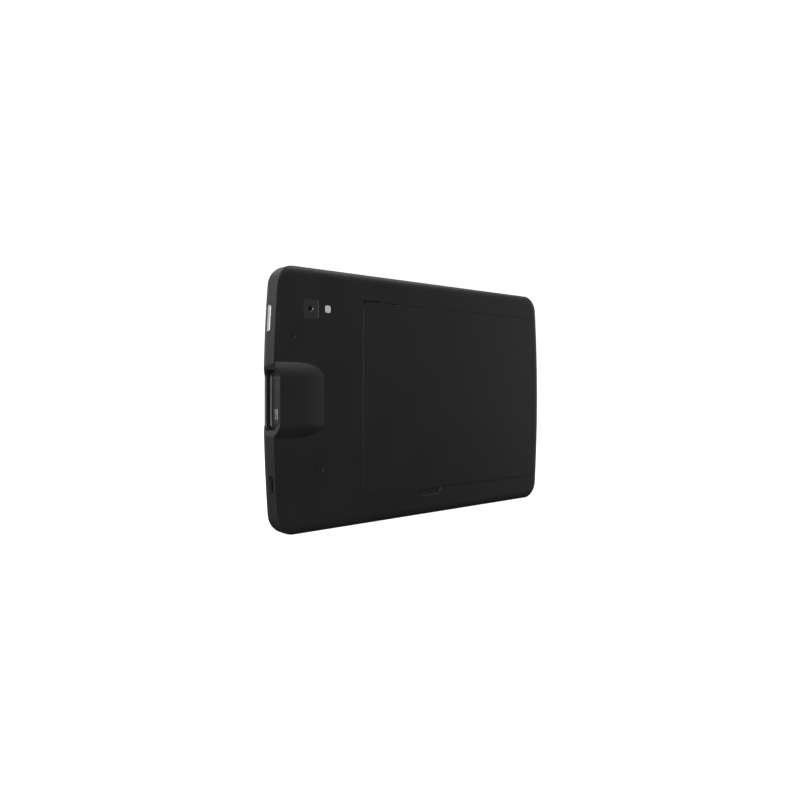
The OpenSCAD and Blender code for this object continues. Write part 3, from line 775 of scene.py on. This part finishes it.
def fired_ceramic(name):
    """Fired ceramic: a warm cream body with fine darker specks and a dry satin face."""
    made, tree = material(name)
    place_at = surface_point(tree)
    specks = add(tree, "TexNoise", {"Vector": place_at, "Scale": 1 / (0.5 * MM), "Detail": 4.0})
    few = add(tree, "MapRange", {"Value": specks.outputs["Fac"], "From Min": 0.55, "From Max": 0.75})
    tone = blend(tree, few.outputs["Result"], linear("#d8cba9"), linear("#9b8d69"))
    return finished(made, tree, {"Base Color": tone, "Roughness": 0.45, "IOR": 1.6})


dress_nodes(fired_ceramic("fired antenna ceramic"), "gnss_antenna")
film_copper = rolled_metal("copper strip on film", "#c07d4e", 0.35, (8, 0.3, 0.3), "#70452c")
dress_nodes(film_copper, "wifi_antenna", "cell_antenna")

# ---------------------------------------------------------------------------
# Small parts on the board. Camera modules, light sensor, speakers and sockets
# in black nylon; motor, microphone and switches in bright stamped cans.
# ---------------------------------------------------------------------------
dress_nodes(inner_nylon, "rear_camera", "front_camera", "speaker_left", "speaker_right",
            "battery_connector")
small_can = rolled_metal("nickel-plated can, drawn", "#a9acaf", 0.3, (0.4, 0.4, 6))
dress_nodes(small_can, "vibration_motor", "microphone", "power_switch", "volume_switches")


def cast_resin(name, colour, speck, roughness):
    """Clear resin cast over a small die: a smooth tinted gloss with a mottle of trapped powder."""
    made, tree = material(name)
    place_at = surface_point(tree)
    powder = add(tree, "TexNoise", {"Vector": place_at, "Scale": 1 / (0.3 * MM), "Detail": 3.0})
    tone = blend(tree, powder.outputs["Fac"], linear(colour), linear(speck))
    return finished(made, tree, {"Base Color": tone, "Roughness": roughness, "IOR": 1.5})


dress_nodes(cast_resin("yellow phosphor resin", "#d8c25c", "#efe3a0", 0.35), "flash_led")
dress_nodes(cast_resin("smoked sensor resin", "#202226", "#303338", 0.2), "light_sensor")

# ---------------------------------------------------------------------------
# Camera window. A smoked acrylic tile, printed inside, set flush in the back;
# a countersunk eye in its middle shows the domed front lens of the camera.
# ---------------------------------------------------------------------------
eye = centre(window_low, window_high)
tile_top = window_high[2]
tile = bench_piece("camera_window_tile",
                   solid(around(window_low, window_high, 0, 1.15),
                         [(window_low[2], -0.1), (window_low[2] + 0.1, 0), (tile_top - 0.15, 0),
                          (tile_top - 0.04, -0.05), (tile_top, -0.15)]))
countersink = solid(round_hole(*eye, 1.15), [(tile_top - 0.55, 0), (tile_top, 0.6), (tile_top + 1, 1.7)])
combine(tile, countersink, "DIFFERENCE")
smooth(tile)


def smoked_acrylic(name):
    """Smoked acrylic over dark print: a slightly grey gloss that stands out from the black back, with a
    hair of uneven tint."""
    made, tree = material(name)
    place_at = surface_point(tree)
    tint = add(tree, "TexNoise", {"Vector": place_at, "Scale": 1 / (6 * MM), "Detail": 2.0})
    tone = blend(tree, tint.outputs["Fac"], linear("#313234"), linear("#38393b"))
    gloss = add(tree, "MapRange", {"Value": tint.outputs["Fac"], "To Min": 0.16, "To Max": 0.26})
    return finished(made, tree, {"Base Color": tone, "Roughness": gloss.outputs["Result"], "IOR": 1.49})


settle(tile, "tablet", ["camera_window"], smoked_acrylic("smoked acrylic, printed inside"))


def dome(cx, cy, base, radius, rise):
    """Lens over a disc: the height falls with the square of the distance from the middle, closed by a
    flat underside."""
    sides = 48
    reach = np.linspace(1, 0.06, 12)[:, None]
    angle = np.linspace(0, 2 * math.pi, sides, endpoint=False)
    rows = np.stack([cx + radius * reach * np.cos(angle), cy + radius * reach * np.sin(angle),
                     base + rise * (1 - reach ** 2) + 0 * angle], axis=-1)
    under = rows[:1] - [0, 0, 0.1]
    return np.concatenate([under, rows]), closed_faces(len(reach) + 1, sides)


def coated_lens(name):
    """Coated optical glass: nearly black, with a weak violet to green cast that shifts with the slope."""
    made, tree = material(name)
    slope = add(tree, "LayerWeight", {"Blend": 0.4})
    cast = blend(tree, slope.outputs["Facing"], linear("#0a0812"), linear("#0c1512"))
    return finished(made, tree, {"Base Color": cast, "Roughness": 0.14, "IOR": 1.6})


place("camera_front_lens", dome(*eye, tile_top - 0.54, 1.13, 0.14), "tablet", [], "window_glass",
      coated_lens("coated optical glass"), 60)

# ---------------------------------------------------------------------------
# Flash lens. A clear polycarbonate light guide with moulded ring prisms, set
# flush beside the camera; it looks milky, because the prisms scatter.
# ---------------------------------------------------------------------------


def prism_plate(shape, cx, cy, floor, top):
    """Rings of the outline shrunk towards the middle; the face is a wave over the distance from the
    middle, one ring prism every 0.55 mm and 0.07 mm deep, level with the back at its rim."""
    flat = shape()
    shrink = np.linspace(1, 0.03, 72)[:, None]
    x = cx + shrink * (flat[:, 0] - cx)
    y = cy + shrink * (flat[:, 1] - cy)
    ripple = 0.035 * (1 - np.cos(2 * math.pi * np.hypot(x - cx, y - cy) / 0.55))
    face = np.stack([x, y, top - ripple * np.clip((1 - shrink) * 12, 0, 1)], axis=-1)
    foot = np.stack([flat[:, 0], flat[:, 1], np.full(len(flat), floor)], axis=-1)[None]
    return np.concatenate([foot, face]), closed_faces(len(shrink) + 1, len(flat))


def milky_lens(name):
    """Clear prisms over a yellow die: a pale milky grey, glossy on each prism, a little warm inside."""
    made, tree = material(name)
    place_at = surface_point(tree)
    milk = add(tree, "TexNoise", {"Vector": place_at, "Scale": 1 / (1.5 * MM), "Detail": 2.0})
    tone = blend(tree, milk.outputs["Fac"], linear("#c9c9c4"), linear("#dad9cf"))
    return finished(made, tree, {"Base Color": tone, "Roughness": 0.22, "IOR": 1.58,
                                 "Subsurface Weight": 0.2, "Subsurface Radius": (0.001, 0.001, 0.0008)})


flash_shape = around(flash_low, flash_high, 0, 0.95)
place("flash_prism_lens",
      prism_plate(flash_shape, *centre(flash_low, flash_high), flash_low[2], flash_high[2]),
      "tablet", ["flash_lens"], "flash_polymer", milky_lens("clear polycarbonate prisms"), 70)

# ---------------------------------------------------------------------------
# Pressure vent. A disc of black expanded membrane that lets air through and
# keeps water out; heat-sealed at the bottom of its round recess.
# ---------------------------------------------------------------------------


def breathing_membrane(name):
    """Expanded membrane: flat black and fibrous, with no gloss. The fibres are 0.02 mm; they are drawn
    at 0.2 mm."""
    made, tree = material(name)
    place_at = surface_point(tree)
    pulled = add(tree, "Mapping", {"Vector": place_at,
                                   "Scale": (1 / (0.2 * MM), 1 / (0.2 * MM), 1 / (0.8 * MM))})
    fibres = add(tree, "TexNoise", {"Vector": pulled.outputs["Vector"], "Scale": 1.0, "Detail": 3.0})
    tone = blend(tree, fibres.outputs["Fac"], linear("#080809"), linear("#121213"))
    bump = add(tree, "Bump", {"Height": fibres.outputs["Fac"], "Strength": 0.4, "Distance": 0.03 * MM})
    return finished(made, tree, {"Base Color": tone, "Roughness": 0.95, "Normal": bump.outputs["Normal"]})


dress_nodes(breathing_membrane("black breathing membrane"), "pressure_vent")

# ---------------------------------------------------------------------------
# Dock connector. A glass-filled moulding with a channel of sixteen gold-plated
# spring contacts, and a blasted steel catch plate that the dock hooks behind.
# ---------------------------------------------------------------------------
dock_nylon = moulded_nylon("glass-filled connector moulding", "#202022", 0.5, 0.3)
dress_nodes(dock_nylon, "dock_connector")
gold = rolled_metal("gold-plated spring bronze", "#b08f52", 0.25, (0.2, 0.2, 3), "#8a6a35")
dress_nodes(gold, "dock_contacts", "battery_terminals")
catch_low, catch_high = bench("dock_catch")
catch_front, catch_rear = catch_low[0], catch_high[0]
plate_shape = rounded(catch_low[1], catch_high[1], catch_low[2], catch_high[2], 0.5)
catch_levels = [(catch_front, -0.3), (catch_front + 0.04, -0.15), (catch_front + 0.15, -0.04),
                (catch_front + 0.3, 0), (catch_rear, 0)]
catch = bench_piece("dock_catch_plate", turned(end_on, solid(plate_shape, catch_levels)))
catch_z = (catch_low[2] + catch_high[2]) / 2
hole_levels = [(catch_front - 0.4, 0.62), (catch_front + 0.12, 0), (catch_rear + 1, 0)]
catch_holes = [solid(round_hole(mid + y, catch_z, 0.5, 24), hole_levels) for y in (-9.6, -6.4)]
combine(catch, turned(end_on, together(*catch_holes)), "DIFFERENCE")
smooth(catch)
blasted_steel = cast_metal("stainless catch plate, bead-blasted", "#66686a", 0.46)
settle(catch, "tablet", ["dock_catch"], blasted_steel)

# ---------------------------------------------------------------------------
# USB socket. A seamless drawn steel shell with a nylon tongue inside, soldered
# to the board and sealed into its slot in the end wall.
# ---------------------------------------------------------------------------
dress_nodes(rolled_metal("drawn steel shell", "#6d7073", 0.36, (6, 0.3, 0.3)), "usb_port")

# ---------------------------------------------------------------------------
# Battery pack. Flat lithium cells in a black shrink wrap with soft edges, gold
# terminals at one end, and a clear tab glued on to pull the pack out.
# ---------------------------------------------------------------------------
pack_low, pack_high = bench("battery_pack")
terminal_low, terminal_high = bench("battery_terminals")
soft = np.linspace(0, math.pi / 2, 6)
fold = 1.2
pack_levels = ([(pack_low[2] + fold * (1 - math.sin(a)), -fold * (1 - math.cos(a))) for a in soft[::-1]]
               + [(pack_high[2] - fold * (1 - math.sin(a)), -fold * (1 - math.cos(a))) for a in soft])
pack = bench_piece("battery_pack_wrapped", solid(around(pack_low, pack_high, 0, 2), pack_levels))
terminal_recess = solid(rounded(pack_low[0] - 1, terminal_high[0], mid - 6, mid + 6, 0.05),
                        cut(terminal_low[2], terminal_high[2]))
combine(pack, terminal_recess, "DIFFERENCE")
smooth(pack)


def shrink_wrap(name, colour):
    """Shrunk vinyl film: a dull satin sheen over long shallow wrinkles, finer towards the ends."""
    made, tree = material(name)
    place_at = surface_point(tree)
    pulled = add(tree, "Mapping", {"Vector": place_at,
                                   "Scale": (1 / (26 * MM), 1 / (5 * MM), 1 / (7 * MM))})
    wrinkle = add(tree, "TexNoise", {"Vector": pulled.outputs["Vector"], "Scale": 1.0, "Detail": 4.0,
                                     "Distortion": 0.6})
    tone = blend(tree, wrinkle.outputs["Fac"], linear(colour), lighter(colour, 1.4))
    bump = add(tree, "Bump", {"Height": wrinkle.outputs["Fac"], "Strength": 0.35, "Distance": 0.3 * MM})
    return finished(made, tree, {"Base Color": tone, "Roughness": 0.36, "IOR": 1.53,
                                 "Normal": bump.outputs["Normal"]})


settle(pack, "battery", ["battery_pack"], shrink_wrap("black vinyl shrink wrap", "#26282b"))


def clear_film(name):
    """Clear polyester film with a frosted underside: pale, half see-through, with a crisp gloss."""
    made, tree = material(name)
    place_at = surface_point(tree)
    frost = add(tree, "TexNoise", {"Vector": place_at, "Scale": 1 / (0.6 * MM), "Detail": 2.0})
    gloss = add(tree, "MapRange", {"Value": frost.outputs["Fac"], "To Min": 0.1, "To Max": 0.25})
    return finished(made, tree, {"Base Color": linear("#c3cad1"), "Roughness": gloss.outputs["Result"],
                                 "IOR": 1.6, "Alpha": 0.6})


dress_nodes(clear_film("clear polyester film"), "pull_tab")

# ---------------------------------------------------------------------------
# Battery cover. A flat nylon door with a softly broken rim and six pegs that
# snap into the ledge; four foam pads behind it hold the pack down.
# ---------------------------------------------------------------------------
rim = np.linspace(0, math.pi / 2, 5)
door_break = 0.18
door_levels = ([(cover_floor, -0.12), (cover_floor + 0.12, 0)]
               + [(back - door_break * (1 - math.sin(a)), -door_break * (1 - math.cos(a))) for a in rim])
door_shape = rounded(cover_low[0], cover_high[0], cover_low[1], cover_high[1], 5, 16)
door = bench_piece("battery_door", solid(door_shape, door_levels))
peg_levels = [(cover_low[2], -0.12), (cover_low[2] + 0.2, 0), (cover_floor + 0.3, 0)]
pegs = [solid(rounded(x - 3.5, x + 3.5, y - 0.6, y + 0.6, 0.15), peg_levels) for x, y in pegs_at]
combine(door, together(*pegs), "UNION")
smooth(door)
settle(door, "cover", ["battery_cover"], nylon)


def cell_foam(name):
    """Closed-cell foam: dark and matt, with fine open pores on its cut skin, 0.3 mm across; each pore is
    painted darker towards its middle as painted shade in its hollow.
    """
    made, tree = material(name)
    place_at = surface_point(tree)
    pores = add(tree, "TexVoronoi", {"Vector": place_at, "Scale": 1 / (0.3 * MM)})
    # Painted shade: the colour darkens towards the middle of each pore, where the bump sinks it, to stand
    # for the shade in its hollow.
    tone = blend(tree, pores.outputs["Distance"], linear("#101112"), linear("#3a3c3f"))
    bump = add(tree, "Bump", {"Height": pores.outputs["Distance"], "Strength": 0.6, "Distance": 0.08 * MM})
    return finished(made, tree, {"Base Color": tone, "Roughness": 0.92, "Normal": bump.outputs["Normal"]})


dress_nodes(cell_foam("black closed-cell foam"), "cover_pads")

# ---------------------------------------------------------------------------
# Power key. A bead-blasted aluminium bar that stands a little out of its slot
# in the bowed end wall; a flange behind the wall keeps it from falling out.
# ---------------------------------------------------------------------------
key_length, key_width, key_out = 15.0, 2.9, 0.3
crown = 0.35
key_levels = ([(-key_out + crown * (1 - math.cos(a)), -crown * (1 - math.sin(a))) for a in rim]
              + [(wall + 0.2, 0)])
key_bar = solid(rounded(-key_length / 2, key_length / 2, -key_width / 2, key_width / 2, 1.2), key_levels)
flange_out = 0.8
flange = solid(rounded(-key_length / 2 - flange_out, key_length / 2 + flange_out, -key_width / 2,
                       key_width / 2 + flange_out, 0.3), [(wall + 0.14, 0), (wall + 0.75, 0)])
key = bench_piece("power_key_bar", turned(at_key, turned(end_on, key_bar)))
combine(key, turned(at_key, turned(end_on, flange)), "UNION")
smooth(key)


def blasted_aluminium(name, colour):
    """Aluminium, bead-blasted and clear anodised: pale grey with a fine sparkle and a satin glow. The
    grit is 0.08 mm; it is drawn at 0.25 mm."""
    made, tree = material(name)
    place_at = surface_point(tree)
    grit = add(tree, "TexNoise", {"Vector": place_at, "Scale": 1 / (0.25 * MM), "Detail": 2.0})
    tone = blend(tree, grit.outputs["Fac"], linear(colour), lighter(colour, 1.2))
    bump = add(tree, "Bump", {"Height": grit.outputs["Fac"], "Strength": 0.25, "Distance": 0.02 * MM})
    return finished(made, tree, {"Base Color": tone, "Metallic": 1.0, "Roughness": 0.42,
                                 "Normal": bump.outputs["Normal"]})


key_metal = blasted_aluminium("anodised aluminium, bead-blasted", "#b9bbbe")
settle(key, "power_key", ["power_key"], key_metal)

# ---------------------------------------------------------------------------
# Volume rocker. One nylon bar in the top edge with a raised pip at each end; it
# tilts on a cross pin in the chassis and presses one of two switches.
# ---------------------------------------------------------------------------
bar_z0, bar_z1 = key_z - key_width / 2, key_z + key_width / 2
rocker_x = (rocker_low[0] + rocker_high[0]) / 2
rocker_top = rocker_high[1] - 0.2
rocker_break = 0.3
rocker_levels = ([(height - 2.4, 0)]
                 + [(rocker_top - rocker_break * (1 - math.sin(a)), -rocker_break * (1 - math.cos(a)))
                    for a in rim])
rocker_bar = solid(rounded(bar_z0, bar_z1, rocker_low[0], rocker_high[0], 1.2), rocker_levels)
rocker = bench_piece("volume_rocker_bar", turned(edge_on, rocker_bar))
pips = [solid(rounded(key_z - 0.6, key_z + 0.6, x - 2.2, x + 2.2, 0.59),
              [(rocker_top - 0.5, 0.1), (rocker_top, 0.1), (rocker_top + 0.14, -0.05),
               (rocker_high[1], -0.25)])
        for x in (rocker_x - 8.2, rocker_x + 8.2)]
foot = solid(rounded(key_z - 1.5, key_z + 2, rocker_x - 4.5, rocker_x + 4.5, 0.2),
             [(rocker_low[1], -0.1), (rocker_low[1] + 0.1, 0), (height - 1.85, 0)])
pin = solid(round_hole(rocker_x, height - 3, 0.6, 32), [(rocker_low[2], -0.1), (rocker_low[2] + 0.1, 0),
                                                        (rocker_high[2] - 0.1, 0), (rocker_high[2], -0.1)])
for joined in [turned(edge_on, shape) for shape in pips + [foot]] + [pin]:
    combine(rocker, joined, "UNION")
smooth(rocker)
settle(rocker, "volume_rocker", ["volume_rocker"], satin)

# ---------------------------------------------------------------------------
# Screws. Zinc-plated steel with cross recesses: five for the board, eight for
# the chassis and eight under the battery cover.
# ---------------------------------------------------------------------------
zinc = rolled_metal("zinc-plated screw steel", "#9ea1a5", 0.32, (0.5, 0.5, 0.5), "#6c6f73")
dress_nodes(zinc, "board_screws", "chassis_screws", "housing_screws")
